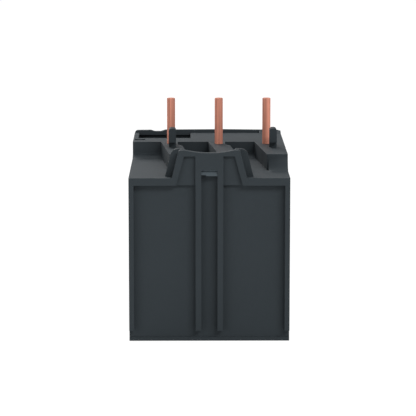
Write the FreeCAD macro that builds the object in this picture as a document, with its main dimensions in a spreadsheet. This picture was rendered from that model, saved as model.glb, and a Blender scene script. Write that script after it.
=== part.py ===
"""Thermal overload relay for a 45 mm contactor, with its bimetal tripping mechanism.

Frame: origin on the base, under the middle of the bounding box. +Z is up, towards the contactor that
the three line pins plug into. The terminals, dial and buttons face -Y, and the ribbed cover faces +Y.
"""

import FreeCAD, Part
import math
import os
import re
import Sketcher

V = FreeCAD.Vector

SIZES = {
    # Body, as a stack of heights from the base to the deck
    "body_width": 45,
    "body_depth": 70,
    "main_height": 16,
    "aux_height": 14,
    "front_height": 21.05,
    "deck_rise": 4.55,
    "deck_depth": 25.2,
    "wall": 1.6,
    "sweep_depth": 3.5,
    "sweep_height": 1,
    "sweep_radius": 5,
    "fit_gap": 0.3,
    # Rear cover
    "cover_depth": 3.2,
    "pocket_depth": 2,
    "rim_width": 1.4,
    "rim_height": 2.1,
    "rib_inner": 2.26,
    "rib_width": 1.6,
    "rib_foot": 3.2,
    "lip_height": 1.05,
    "lip_inset": 1.7,
    "hump_thickness": 2.3,
    "hump_foot": 10.46,
    "hump_shoulder": 8.5,
    "hump_crest": 7,
    "hump_rise": 7.8,
    "hump_dip": 1.5,
    "hump_sweep": 29,
    "hump_corner": 0.7,
    "panel_depth": 1,
    "panel_rise": 6.1,
    "panel_top_half": 7.04,
    "panel_foot_half": 9.3,
    "head_half": 3.9,
    "latch_rise": 2.13,
    "latch_height": 1.56,
    "latch_set": 0.9,
    "latch_notch": 0.9,
    "latch_notch_height": 0.3,
    # Ears and locating hooks behind the hump
    "ear_setback": 3.5,
    "ear_thickness": 1.5,
    "ear_foot": 12.35,
    "ear_shoulder": 10.4,
    "ear_rise": 7.75,
    "ear_corner": 2,
    "ear_tip_corner": 0.6,
    "ear_inner": 7.1,
    "ear_slope": 1,
    "ear_valley": 3.5,
    "hook_width": 2.1,
    "hook_height": 5.7,
    "hook_setback": 14.7,
    "hook_stem": 2.6,
    "hook_reach": 1.9,
    "hook_gap": 1.6,
    "hook_corner": 0.8,
    "hook_right": 10.57,
    "hook_left": -18.85,
    # Line pins and the platforms that carry them
    "pin_radius": 1.2,
    "pin_shank": 1.45,
    "pin_pitch": 14.1,
    "pin_offset": -3.08,
    "pin_setback": 4.1,
    "pin_height": 13.6,
    "pin_chamfer": 0.1,
    "pin_run_drop": 2.1,
    "pin_run_gap": 1.6,
    "pin_run_width": 2.4,
    "pin_run_thickness": 1.6,
    "pin_clearance": 0.05,
    "platform_length": 28.4,
    "platform_right": 3.05,
    "platform_taper": 2.76,
    "platform_left": 1.93,
    "platform_step": 3.35,
    "platform_step_place": 8.8,
    "platform_step_length": 3,
    "platform_step_radius": 2,
    "platform_left_tip": 5.05,
    "platform_outer_extra": 0.4,
    "platform_corner": 0.5,
    "platform_sweep": 4,
    # Recesses of the deck
    "slot_margin": 1.4,
    "slot_length": 15.8,
    "slot_rear": 16.1,
    "slot_depth": 3.5,
    "slot_floor": 1.2,
    "slot_lip": 0.7,
    "slot_relief": 1.2,
    "notch_margin": 0.5,
    "notch_width": 3.1,
    "notch_rear": 20.9,
    "notch_length": 2.4,
    "notch_depth": 0.6,
    "seam_width": 0.3,
    "seam_depth": 0.5,
    # Front cover
    "bezel_depth": 2.6,
    "bezel_rise": 0.68,
    "bezel_crown": 0.32,
    "bezel_crown_radius": 600,
    "bezel_corner": 1,
    "bezel_chamfer": 0.8,
    "bezel_step": 15.8,
    "ramp_length": 3,
    "thumb_left": 12.6,
    "thumb_width": 5.6,
    "thumb_floor": 2,
    "thumb_depth": 0.35,
    "thumb_radius": 1.5,
    "field_rim": 0.9,
    "window_rim": 0.7,
    "field_depth": 0.8,
    "window_depth": 1.5,
    "window_left": 0.9,
    "window_gap": 0.3,
    "field_gap": 0.7,
    # Sealing cover and its hinge
    "clear_thickness": 1.2,
    "pane_corner": 0.6,
    "pane_gap": 0.25,
    "hinge_rise": 2.3,
    "hinge_inset": 1.15,
    "knuckle_radius": 1.05,
    "knuckle_width": 3,
    "hinge_pin_radius": 0.5,
    "hinge_clearance": 0.05,
    "groove_depth": 1.9,
    "pull_width": 6,
    "pull_height": 1.8,
    "pull_drop": 1.8,
    "pull_depth": 0.3,
    # Setting dial
    "dial_margin": 1.3,
    "dial_drop": 10.1,
    "dial_room": 19,
    "dial_face": 2.3,
    "dial_flange": 0.8,
    "dial_shaft": 2,
    "dial_slot": 0.8,
    "dial_slot_length": 7.8,
    "button_clearance": 0.3,
    # Buttons
    "button_margin": 0.9,
    "button_pitch": 8.6,
    "button_gap": 0.5,
    "button_size": 6.6,
    "button_corner": 1.2,
    "button_back": 5.5,
    "flange_size": 7.6,
    "flange_thickness": 1,
    "stem_radius": 1.5,
    "stem_gap": 2.9,
    "stem_clearance": 0.08,
    "selector_gap": 0.2,
    "selector_radius": 1.9,
    "selector_flange": 2.2,
    "selector_face": 0.4,
    "selector_slot": 2.8,
    "test_gap": 1.15,
    "test_margin": 1.4,
    "test_radius": 1.5,
    "test_flange": 2.4,
    "test_stem": 0.8,
    "test_face": 1.4,
    "flag_drop": 4.7,
    "flag_place": -1.3,
    "flag_window": 2.8,
    "flag_window_height": 2.2,
    "flag_overlap": 0.6,
    "flag_travel": 2.8,
    "spring_radius": 2.3,
    "spring_wire": 0.3,
    "spring_turns": 3,
    # Mechanism plate
    "plate_gap": 1.9,
    "plate_thickness": 1.6,
    # Main terminals
    "pole_margin": 1.05,
    "main_inset": 13,
    "main_depth": 18,
    "main_chamber": 11,
    "main_roof": 2.6,
    "main_chamber_wall": 2.2,
    "cage_width": 9.4,
    "cage_height": 7.8,
    "cage_gap": 0.4,
    "cage_setback": 5.2,
    "cage_depth": 10.1,
    "cage_wall": 1.4,
    "cage_corner": 0.5,
    "cage_screw_rise": 4,
    "tab_setback": 3,
    "tab_thickness": 1.2,
    "tab_width": 6.6,
    "tab_roof_gap": 1.4,
    "tab_cage_gap": 0.4,
    "main_screw_radius": 2,
    "main_head_radius": 3.4,
    "main_head_inset": 0.4,
    "main_head_height": 2.2,
    "main_cross": 4.4,
    "thread_clearance": 0.05,
    # Auxiliary terminals
    "aux_margin": 0.5,
    "aux_inset": 7,
    "aux_depth": 15,
    "aux_chamber": 8.2,
    "aux_chamber_wall": 4,
    "aux_screw_drop": 6,
    "clamp_size": 7.4,
    "clamp_inset": 2.4,
    "clamp_thickness": 1.2,
    "contact_setback": 3,
    "contact_plate_thickness": 1.2,
    "contact_plate_width": 6.6,
    "contact_plate_drop": 3.4,
    "contact_leg_rise": 3.6,
    "contact_width": 4,
    "contact_overhang": 3.1,
    "contact_drop_length": 3,
    "contact_button": 1.2,
    "contact_button_height": 0.5,
    "aux_screw_radius": 1.75,
    "aux_head_radius": 2.9,
    "aux_head_height": 1.8,
    "aux_screw_length": 6.6,
    "aux_cross": 3.8,
    "head_chamfer": 0.5,
    "cross_width": 0.9,
    "cross_depth": 1.2,
    # Poles
    "strip_thickness": 1,
    "strip_width": 6,
    "strip_inset": 13.8,
    "strip_drop": 3.5,
    "sleeve_wall": 0.3,
    "heater_foot_gap": 3.7,
    "heater_top_gap": 3.6,
    "heater_wall": 0.6,
    "heater_pitch": 1.8,
    "heater_slit": 0.6,
    "heater_spine": 1.5,
    # Sliders
    "slider_drop": 3.8,
    "slider_thickness": 1.2,
    "slider_margin": 4,
    "slider_side_gap": 4.5,
    "slider_travel": 2.2,
    "slider_gap": 0.6,
    "slider_slack": 0.15,
    "arm_inset": 4.2,
    "arm_width": 3,
    "arm_overlap": 2,
    # Levers
    "lever_drop": 4.6,
    "lever_depth": 4,
    "lever_thickness": 1,
    "lever_gap": 4.6,
    "lever_length": 13,
    "lever_reach": -8,
    "pivot_radius": 0.8,
    "pivot_boss": 1.6,
    "pivot_clearance": 0.05,
    "adjuster_gap": 3.6,
    "adjuster_margin": 0.9,
    "adjuster_reach": 12,
    # Contact rocker
    "rocker_gap": 4.6,
    "rocker_height": 10,
    "rocker_foot_drop": 4.5,
    "rocker_overhang": 0.5,
    "rocker_depth": 2.6,
    "rocker_post": 8,
    "rocker_post_reach": 4.1,
    "bridge_thickness": 0.5,
    "bridge_height": 4,
    "trip_gap": 1.6,
}

# Places worked out from the sizes. Those of the terminals and the plate are distances in front of the origin.
PLACES = {
    "side": "body_width / 2",
    "rear": "body_depth / 2",
    "front": "-body_depth / 2",
    "seam": "rear - cover_depth",
    "bezel_back": "front + bezel_depth",
    "deck_rear": "front + deck_depth",
    "front_foot": "main_height + aux_height",
    "deck_height": "front_foot + front_height",
    "shelf_height": "deck_height - deck_rise",
    "front_top": "deck_height + bezel_rise",
    "hump_top": "shelf_height + hump_rise",
    "panel_top": "shelf_height + panel_rise",
    "latch_top": "shelf_height + latch_rise",
    "ear_top": "shelf_height + ear_rise",
    "hook_top": "deck_height + hook_height",
    "hook_face": "deck_rear + hook_setback",
    "pin_place": "deck_rear + pin_setback",
    "pin_top": "deck_height + pin_height",
    "pin_run_height": "slider_foot - pin_run_drop",
    "pin_run_end": "strip_front - pin_run_gap",
    "slot_right": "side - slot_margin",
    "slot_left": "slot_right - slot_length",
    "notch_right": "side - notch_margin",
    "window_right": "stop_place - flange_size / 2 - window_gap",
    "hinge_height": "front_foot + hinge_rise",
    "hinge_line": "front + hinge_inset",
    "clear_foot": "hinge_height + knuckle_radius + pane_gap",
    "dial_radius": "(body_width - dial_room) / 4",
    "dial_place": "dial_margin + wall + dial_radius + dial_flange - side",
    "dial_height": "deck_height - dial_drop",
    "selector_height": "front_foot + wall + selector_gap + selector_flange",
    "button_height": "selector_height + selector_flange + button_gap + flange_size / 2",
    "reset_place": "side - wall - button_margin - flange_size / 2",
    "stop_place": "reset_place - button_pitch",
    "test_place": "stop_place - flange_size / 2 - test_margin - test_flange",
    "test_height": "hinge_height + knuckle_radius + test_gap + test_radius",
    "flag_height": "deck_height - flag_drop",
    "plate_top": "deck_height - slot_depth - slot_floor - fit_gap",
    "plate_rear": "stem_end + plate_gap",
    "plate_front": "-plate_rear - plate_thickness",
    "stem_end": "adjuster_pivot + stem_gap",
    "main_pitch": "(body_width - 2 * pole_margin) / 3",
    "main_front": "rear - main_inset",
    "main_rear": "main_front - main_depth",
    "main_chamber_top": "main_height - main_roof",
    "main_chamber_rear": "main_rear + main_chamber_wall",
    "tab_leg": "main_chamber_top - tab_roof_gap",
    "load_leg": "tab_leg - tab_thickness",
    "tab_front": "cage_front - tab_setback",
    "tab_foot": "cage_foot + tab_cage_gap",
    "cage_top": "load_leg - cage_gap",
    "cage_foot": "cage_top - cage_height",
    "cage_front": "main_front - cage_setback",
    "cage_rear": "cage_front - cage_depth",
    "main_screw_height": "cage_foot + cage_screw_rise",
    "main_head_face": "main_front - main_head_inset",
    "aux_pitch": "(body_width - 2 * aux_margin) / 4",
    "aux_front": "rear - aux_inset",
    "aux_rear": "aux_front - aux_depth",
    "aux_chamber_top": "front_foot - wall",
    "aux_chamber_rear": "aux_rear + aux_chamber_wall",
    "aux_screw_height": "front_foot - aux_screw_drop",
    "aux_screw_end": "clamp_front - aux_screw_length",
    "clamp_front": "aux_front - clamp_inset",
    "contact_plate_front": "clamp_front - contact_setback",
    "contact_plate_back": "contact_plate_thickness - contact_plate_front",
    "contact_plate_foot": "aux_screw_height - contact_plate_drop",
    "contact_leg": "aux_screw_height + contact_leg_rise",
    "contact_end": "aux_rear - contact_overhang",
    "contact_drop": "aux_screw_height - contact_drop_length",
    "strip_front": "seam - strip_inset",
    "strip_middle": "strip_front + strip_width / 2",
    "strip_foot": "tab_leg + fit_gap",
    "strip_top": "shelf_height - wall - strip_drop",
    "heater_foot": "strip_foot + heater_foot_gap",
    "heater_top": "slider_foot - heater_top_gap",
    "slider_foot": "strip_top - slider_drop",
    "slider_front": "strip_front - slider_margin",
    "slider_rear": "strip_front + strip_width + slider_margin",
    "slider_end": "side - slider_side_gap",
    "arm_left": "slider_end - arm_inset",
    "arm_end": "lever_tip - arm_overlap",
    "lever_foot": "slider_foot - lever_drop",
    "lever_place": "rocker_post_face - lever_gap",
    "lever_side": "arm_left + arm_width + fit_gap",
    "lever_tip": "lever_place + lever_length",
    "adjuster_pivot": "adjuster_gap - lever_place",
    "adjuster_place": "wall + adjuster_margin + pivot_boss - side",
    "rocker_place": "rocker_gap - contact_end",
    "rocker_half": "1.5 * aux_pitch + rocker_overhang",
    "rocker_foot": "aux_screw_height - rocker_foot_drop",
    "rocker_top": "rocker_foot + rocker_height",
    "rocker_post_face": "rocker_place - rocker_post_reach",
}

doc = FreeCAD.newDocument("overload_relay")
sheet = doc.addObject("Spreadsheet::Sheet", "Sizes")
for row, (alias, size) in enumerate(SIZES.items(), 1):
    sheet.set(f"A{row}", alias)
    sheet.set(f"B{row}", str(size))
    sheet.setAlias(f"B{row}", alias)
doc.recompute()

parts = []  # every piece that is written out


def bound(text):
    """An expression of plain names as FreeCAD reads it: places spelled out, sizes on their sheet."""

    def spell(word):
        name = word[0]
        if name in PLACES:
            return f"({bound(PLACES[name])})"
        return "Sizes." + name if name in SIZES else name

    return re.sub(r"[a-z_]+", spell, str(text))


def number(text):
    """The present value of an expression."""
    return float(sheet.evalExpression(bound(text)))


def bind(item, links):
    """Ties properties of an object to expressions of the sizes."""
    for prop, text in links.items():
        item.setExpression(prop, bound(text))


def place(item, x=0, y=0, z=0):
    bind(item, {"Placement.Base.x": x, "Placement.Base.y": y, "Placement.Base.z": z})
    return item


def keep(item, name):
    """Marks an object as a finished piece."""
    item.Label = name
    parts.append(item)
    return item


# Sketch outlines -------------------------------------------------------------------------------------


def new_sketch(body, plane, level):
    """A sketch on one of the body's own origin planes, moved to a level along the plane's axis."""
    sketch = body.newObject("Sketcher::SketchObject", "outline")
    origin = next(f for f in body.Origin.OriginFeatures if f.Role == plane)
    sketch.AttachmentSupport = [(origin, "")]
    sketch.MapMode = "FlatFace"
    sign = "-1 * " if plane == "XZ_Plane" else ""
    bind(sketch, {"AttachmentOffset.Base.z": f"{sign}({level})"})
    return sketch


def pin_point(sketch, geometry, end, corner):
    """Ties a sketch point to the two expressions of a corner."""
    for kind, text in (("DistanceX", corner[0]), ("DistanceY", corner[1])):
        rule = Sketcher.Constraint(kind, -1, 1, geometry, end, number(text))
        bind(sketch, {f"Constraints[{sketch.addConstraint(rule)}]": text})


def draw(sketch, corners):
    """Straight edges through the corners. A corner's third entry is the radius of its tangent arc."""
    points = [V(number(c[0]), number(c[1]), 0) for c in corners]
    ends = []
    for i, corner in enumerate(corners):
        radius = number(corner[2]) if len(corner) > 2 else 0
        back = (points[i - 1] - points[i]).normalize()
        ahead = (points[(i + 1) % len(points)] - points[i]).normalize()
        half = back.getAngle(ahead) / 2
        reach = radius / math.tan(half)
        ends.append((points[i] + back * reach, points[i] + ahead * reach, radius, back + ahead, half))
    lines = []
    for i, end in enumerate(ends):
        nearby = ends[(i + 1) % len(ends)]
        lines.append(sketch.addGeometry(Part.LineSegment(end[1], nearby[0])))
    for i, corner in enumerate(corners):
        start, stop, radius, bisector, half = ends[i]
        if radius:
            centre = points[i] + bisector.normalize() * (radius / math.sin(half))
            turns_left = (stop - start).cross(centre - start).z > 0
            first = 1 if turns_left else 2
            head, tail = (start - centre, stop - centre) if turns_left else (stop - centre, start - centre)
            angles = (math.atan2(head.y, head.x), math.atan2(tail.y, tail.x))
            circle = Part.Circle(centre, V(0, 0, 1), radius)
            arc = sketch.addGeometry(Part.ArcOfCircle(circle, *angles))
            guide = sketch.addGeometry(Part.Point(points[i]), True)
            sketch.addConstraint(Sketcher.Constraint("Tangent", lines[i - 1], 2, arc, first))
            sketch.addConstraint(Sketcher.Constraint("Tangent", lines[i], 1, arc, 3 - first))
            rule = sketch.addConstraint(Sketcher.Constraint("Radius", arc, radius))
            bind(sketch, {f"Constraints[{rule}]": corner[2]})
            sketch.addConstraint(Sketcher.Constraint("PointOnObject", guide, 1, lines[i - 1]))
            sketch.addConstraint(Sketcher.Constraint("PointOnObject", guide, 1, lines[i]))
            pin_point(sketch, guide, 1, corner)
        else:
            sketch.addConstraint(Sketcher.Constraint("Coincident", lines[i - 1], 2, lines[i], 1))
            pin_point(sketch, lines[i], 1, corner)


def draw_circle(sketch, centre, radius):
    circle = Part.Circle(V(number(centre[0]), number(centre[1]), 0), V(0, 0, 1), number(radius))
    index = sketch.addGeometry(circle)
    rule = sketch.addConstraint(Sketcher.Constraint("Radius", index, number(radius)))
    bind(sketch, {f"Constraints[{rule}]": radius})
    pin_point(sketch, index, 3, centre)


def rectangle(left, right, low, high, radius=None):
    corners = [(left, low), (right, low), (right, high), (left, high)]
    return [c + (radius,) for c in corners] if radius else corners


# Body features ---------------------------------------------------------------------------------------


def new_body(name):
    body = doc.addObject("PartDesign::Body", name)
    return keep(body, name)


def feature(body, kind, plane, span, outline):
    """Pads or cuts an outline over a span of the plane's axis, lower end first.

    The outline is a list of corners, or a circle as ((u, v), radius).
    """
    low, high = span
    sketch = new_sketch(body, plane, high if plane == "XZ_Plane" else low)
    if isinstance(outline, tuple):
        draw_circle(sketch, *outline)
    else:
        draw(sketch, outline)
    made = body.newObject(f"PartDesign::{kind}", kind.lower())
    made.Profile = sketch
    made.Reversed = kind == "Pocket"
    bind(made, {"Length": f"({high}) - ({low})"})
    return made


def pad(body, plane, span, outline):
    return feature(body, "Pad", plane, span, outline)


def pocket(body, plane, span, outline):
    return feature(body, "Pocket", plane, span, outline)


def turn(body, outline):
    """Revolves an outline of (radius, height) corners about the body's Z axis."""
    sketch = new_sketch(body, "XZ_Plane", 0)
    draw(sketch, outline)
    turned = body.newObject("PartDesign::Revolution", "turned")
    turned.Profile = sketch
    turned.ReferenceAxis = (sketch, ["V_Axis"])
    turned.Angle = 360
    return turned


# Plain solids and booleans ---------------------------------------------------------------------------

# Turns that bring the Z axis onto each axis
TURNS = {
    "x": FreeCAD.Rotation(V(0, 1, 0), 90),
    "y": FreeCAD.Rotation(V(1, 0, 0), -90),
    "z": FreeCAD.Rotation(),
}


def block(x, y, z):
    """A box over three (low, high) spans."""
    item = doc.addObject("Part::Box", "block")
    spans = {"Length": x, "Width": y, "Height": z}
    bind(item, {prop: f"({high}) - ({low})" for prop, (low, high) in spans.items()})
    return place(item, x[0], y[0], z[0])


def rod(axis, centre, span, radius):
    """A cylinder along an axis. The centre gives its other two coordinates in order."""
    item = doc.addObject("Part::Cylinder", "rod")
    bind(item, {"Radius": radius, "Height": f"({span[1]}) - ({span[0]})"})
    item.Placement = FreeCAD.Placement(V(), TURNS[axis])
    where = list(centre)
    where.insert("xyz".index(axis), span[0])
    return place(item, *where)


def fuse(*items):
    if len(items) == 1:
        return items[0]
    joined = doc.addObject("Part::MultiFuse", "joined")
    joined.Shapes = list(items)
    joined.Refine = True
    return joined


def cut(base, *tools):
    result = doc.addObject("Part::Cut", "cut")
    result.Base = base
    result.Tool = fuse(*tools)
    result.Refine = True
    return result


def around(centre, width):
    return (f"{centre} - ({width}) / 2", f"{centre} + ({width}) / 2")


# Rear cover ------------------------------------------------------------------------------------------


def hump_outline():
    return [
        ("-hump_foot", "shelf_height - wall"),
        ("hump_foot", "shelf_height - wall"),
        ("hump_foot", "shelf_height"),
        ("hump_shoulder", "hump_top", "hump_corner"),
        ("hump_crest", "hump_top", "hump_corner"),
        (0, "hump_top - hump_dip", "hump_sweep"),
        ("-hump_crest", "hump_top", "hump_corner"),
        ("-hump_shoulder", "hump_top", "hump_corner"),
        ("-hump_foot", "shelf_height"),
    ]


def rear_cover():
    """The ribbed plate, with its humped head, that closes the housing from behind."""
    body = new_body("rear_cover")
    pad(body, "XZ_Plane", ("seam", "rear"), rectangle("-side", "side", 0, "shelf_height"))
    pad(body, "XZ_Plane", ("rear - hump_thickness", "rear"), hump_outline())
    floor = ("rear - pocket_depth", "rear")
    edge = "(side - rim_width)"
    rib = "(rib_inner + rib_width)"
    top = "(shelf_height - rim_height)"
    for sign in ("", "-1 * "):
        left, right = f"{sign}{rib}", f"{sign}{edge}"
        pocket(body, "XZ_Plane", floor, [(left, "rib_foot"), (right, "rib_foot"), (right, top), (left, top)])
        panel = [
            (f"{sign}head_half", f"{top} - rim_height / 2"),
            (f"{sign}panel_foot_half", f"{top} - rim_height / 2"),
            (f"{sign}panel_foot_half", top),
            (f"{sign}panel_top_half", "panel_top"),
            (f"{sign}head_half", "panel_top"),
        ]
        pocket(body, "XZ_Plane", ("rear - panel_depth", "rear"), panel)
    pocket(body, "XZ_Plane", floor, rectangle("-rib_inner", "rib_inner", "rib_foot", "latch_top"))
    pocket(body, "XZ_Plane", floor, rectangle("-side", "side", "lip_height", "rib_foot"))
    pocket(body, "XZ_Plane", ("rear - lip_inset", "rear"), rectangle("-side", "side", 0, "lip_height"))
    wedge = [
        ("rear - pocket_depth", "latch_top"),
        ("rear - latch_set", "latch_top"),
        ("rear", "latch_top - latch_height"),
        ("rear - pocket_depth", "latch_top - latch_height"),
    ]
    pad(body, "YZ_Plane", ("-rib_inner", "rib_inner"), wedge)
    foot = ("latch_top - latch_height", "latch_top - latch_height + latch_notch_height")
    pocket(body, "XZ_Plane", floor, rectangle("latch_notch", "rib_inner", *foot))


# Housing ---------------------------------------------------------------------------------------------


def platform(body, pin, outer):
    """The raised tongue round one line pin, tapering towards the rear."""
    tip = "(deck_rear + platform_length)"
    extra = " + platform_outer_extra" if outer else ""
    outline = [
        (f"{pin} + platform_right{extra}", "deck_rear - wall"),
        (f"{pin} + platform_right{extra}", "deck_rear", "platform_step_radius"),
        (f"{pin} + platform_right{extra} - platform_taper", tip, "platform_corner"),
    ]
    if outer:
        outline += [("-side", tip), ("-side", "deck_rear - wall")]
    else:
        step = "deck_rear + platform_step_place"
        outline += [
            (f"{pin} - platform_left_tip", tip, "platform_corner"),
            (f"{pin} - platform_step", step, "platform_step_radius"),
            (f"{pin} - platform_left", f"{step} - platform_step_length", "platform_step_radius"),
            (f"{pin} - platform_left", "deck_rear - wall"),
        ]
    pad(body, "XY_Plane", ("shelf_height - wall", "deck_height"), outline)
    if outer:
        swept = [
            (f"{tip} - wall", "shelf_height - wall"),
            (f"{tip} + platform_sweep + wall", "shelf_height - wall"),
            (f"{tip} + platform_sweep + wall", "shelf_height"),
            (tip, "shelf_height", "platform_sweep"),
            (tip, "deck_height - platform_corner / 2"),
            (f"{tip} - wall", "deck_height - platform_corner / 2"),
        ]
        inner = f"{pin} + platform_right{extra} - platform_taper - platform_corner"
        pad(body, "YZ_Plane", ("-side", inner), swept)


def hook(body, middle):
    """A round-topped locating hook whose nose reaches over the contactor's ledge."""
    back = "hook_face - hook_reach - hook_stem"
    left, right = around(middle, "hook_width")
    face = [
        (left, "deck_height - wall"),
        (right, "deck_height - wall"),
        (right, "hook_top", "hook_corner"),
        (left, "hook_top", "hook_corner"),
    ]
    pad(body, "XZ_Plane", (back, "hook_face"), face)
    under = rectangle("hook_face - hook_reach", "hook_face", "deck_height", "deck_height + hook_gap")
    pocket(body, "YZ_Plane", (left, right), under)


def pin_x(index):
    return f"(pin_offset + {index - 2} * pin_pitch)"


def main_housing():
    """The moulded case. It is open behind, for the rear cover, and in front, for the front cover."""
    body = new_body("main_housing")
    shell = [
        ("seam", 0),
        ("seam", "shelf_height"),
        ("deck_rear + sweep_depth", "shelf_height", "sweep_radius"),
        ("deck_rear", "shelf_height + sweep_height", "platform_corner"),
        ("deck_rear", "deck_height"),
        ("bezel_back", "deck_height"),
        ("bezel_back", "front_foot"),
        ("-aux_rear", "front_foot"),
        ("-aux_rear", "main_height"),
        ("-main_rear", "main_height"),
        ("-main_rear", 0),
    ]
    pad(body, "YZ_Plane", ("-side", "side"), shell)
    hollow = [
        ("seam + wall", "wall"),
        ("seam + wall", "shelf_height - wall"),
        ("deck_rear - wall", "shelf_height - wall"),
        ("deck_rear - wall", "deck_height - wall"),
        ("bezel_back - wall", "deck_height - wall"),
        ("bezel_back - wall", "front_foot + wall"),
        ("wall - aux_rear", "front_foot + wall"),
        ("wall - aux_rear", "main_height + wall"),
        ("wall - main_rear", "main_height + wall"),
        ("wall - main_rear", "wall"),
    ]
    pocket(body, "YZ_Plane", ("wall - side", "side - wall"), hollow)
    deck(body)
    for index in (1, 2, 3):
        platform(body, pin_x(index), index == 1)
    ears(body)
    hook(body, "hook_right")
    hook(body, "hook_left")
    for index in (1, 2, 3):
        bore = ((pin_x(index), "pin_place"), "pin_shank + pin_clearance")
        pocket(body, "XY_Plane", ("shelf_height - 2 * wall", "deck_height"), bore)
        pocket(body, "XZ_Plane", ("-main_rear", "wall - main_rear"), main_leg_hole(index))
    for index in (1, 2, 3, 4):
        pocket(body, "XZ_Plane", ("-aux_rear", "wall - aux_rear"), aux_leg_hole(index))


def deck(body):
    """The deck's remote-trip slot in its hanging well, its notch, its seam and its raised corner."""
    well_rear = "front + slot_rear + slot_floor"
    well = rectangle("slot_left - slot_floor", "side - wall / 2", "bezel_back", well_rear)
    pad(body, "XY_Plane", ("deck_height - slot_depth - slot_floor", "deck_height - wall"), well)
    slot = rectangle("slot_left", "slot_right", "bezel_back", "front + slot_rear")
    pocket(body, "XY_Plane", ("deck_height - slot_depth", "deck_height"), slot)
    notch_end = "front + notch_rear"
    notch = rectangle("notch_right - notch_width", "notch_right", f"{notch_end} - notch_length", notch_end)
    pocket(body, "XY_Plane", ("deck_height - notch_depth", "deck_height"), notch)
    seam = rectangle("-bezel_step", "slot_left", "bezel_back", "bezel_back + seam_width")
    pocket(body, "XY_Plane", ("deck_height - seam_depth", "deck_height"), seam)
    ramp = [
        ("bezel_back", "deck_height - wall"),
        ("bezel_back + ramp_length", "deck_height - wall"),
        ("bezel_back + ramp_length", "deck_height"),
        ("bezel_back", "front_top"),
    ]
    pad(body, "YZ_Plane", ("-side", "-bezel_step"), ramp)


def ears(body):
    """The upright behind the hump, with an ear at each side and a valley between."""
    outline = [
        ("-ear_foot", "shelf_height - wall"),
        ("ear_foot", "shelf_height - wall"),
        ("ear_foot", "shelf_height"),
        ("ear_shoulder", "ear_top", "ear_corner"),
        ("ear_inner", "ear_top", "ear_tip_corner"),
        ("ear_inner - ear_slope", "shelf_height + ear_valley"),
        ("ear_slope - ear_inner", "shelf_height + ear_valley"),
        ("-ear_inner", "ear_top", "ear_tip_corner"),
        ("-ear_shoulder", "ear_top", "ear_corner"),
        ("-ear_foot", "shelf_height"),
    ]
    pad(body, "XZ_Plane", ("rear - ear_setback - ear_thickness", "rear - ear_setback"), outline)


def leg_span(gap=0):
    return (f"contact_leg - contact_plate_thickness - {gap}", f"contact_leg + {gap}")


def pole_x(index):
    return f"({index - 2} * main_pitch)"


def aux_x(index):
    return f"({index - 2.5} * aux_pitch)"


# Front cover, sealing cover and controls -------------------------------------------------------------


def front_cover():
    """The front panel, with a field for the buttons and a deeper one under the sealing cover."""
    body = new_body("front_cover")
    through = ("front", "bezel_back")
    face = [
        ("-side", "front_foot"),
        ("side", "front_foot"),
        ("side", "front_top", "bezel_corner"),
        (0, "front_top + bezel_crown", "bezel_crown_radius"),
        ("-side", "front_top", "bezel_corner"),
    ]
    pad(body, "XZ_Plane", through, face)
    brow = [
        ("front", "front_top - bezel_chamfer"),
        ("front + 2 * bezel_chamfer", "front_top + bezel_chamfer"),
        ("front", "front_top + bezel_chamfer"),
    ]
    pocket(body, "YZ_Plane", ("-side", "side"), brow)
    top = "front_top - field_rim"
    field_left = "window_right + field_gap"
    field = rectangle(field_left, "side - field_rim", "front_foot + field_rim", top, "button_corner")
    pocket(body, "XZ_Plane", ("front", "front + field_depth"), field)
    left = "window_left - side"
    foot = "front_foot + window_rim"
    groove_top = "clear_foot + fit_gap"
    pocket(body, "XZ_Plane", ("front", "front + window_depth"), rectangle(left, "window_right", foot, top))
    groove = rectangle(left, "window_right", foot, groove_top)
    pocket(body, "XZ_Plane", ("front", "front + groove_depth"), groove)
    for edge in knuckle_edges():
        slot = rectangle(f"{edge} - fit_gap", f"{edge} + knuckle_width + fit_gap", foot, groove_top)
        pocket(body, "XZ_Plane", through, slot)
    pocket(body, "YZ_Plane", hinge_pin_span(), (("hinge_line", "hinge_height"), "hinge_pin_radius"))
    pocket(body, "XZ_Plane", through, (("dial_place", "dial_height"), "dial_radius + button_clearance"))
    pocket(body, "XZ_Plane", through, (("test_place", "test_height"), "test_radius + button_clearance"))
    selector = (("reset_place", "selector_height"), "selector_radius + button_clearance / 2")
    pocket(body, "XZ_Plane", through, selector)
    flag = rectangle(*around("flag_place", "flag_window"), *around("flag_height", "flag_window_height"))
    pocket(body, "XZ_Plane", through, flag)
    size = "button_size + 2 * button_clearance"
    for middle in ("reset_place", "stop_place"):
        hole = rectangle(*around(middle, size), *around("button_height", size), "button_corner")
        pocket(body, "XZ_Plane", through, hole)
    dip = "thumb_left + thumb_width / 2"
    thumb = [
        ("thumb_left", "front_top + bezel_crown"),
        (f"{dip} - thumb_floor / 2", "front_top - thumb_depth", "thumb_radius"),
        (f"{dip} + thumb_floor / 2", "front_top - thumb_depth", "thumb_radius"),
        ("thumb_left + thumb_width", "front_top + bezel_crown"),
    ]
    pocket(body, "XZ_Plane", through, thumb)
    relief = rectangle("slot_left", "slot_right", "deck_height - slot_depth", "deck_height - slot_lip")
    pocket(body, "XZ_Plane", ("bezel_back - slot_relief", "bezel_back"), relief)


def knuckle_edges():
    """The left edges of the sealing cover's two hinge knuckles."""
    return ("(window_left - side + fit_gap)", "(window_right - fit_gap - knuckle_width)")


def hinge_pin_span():
    return ("window_left - side - field_rim / 2", "window_right + field_gap / 2")


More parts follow.
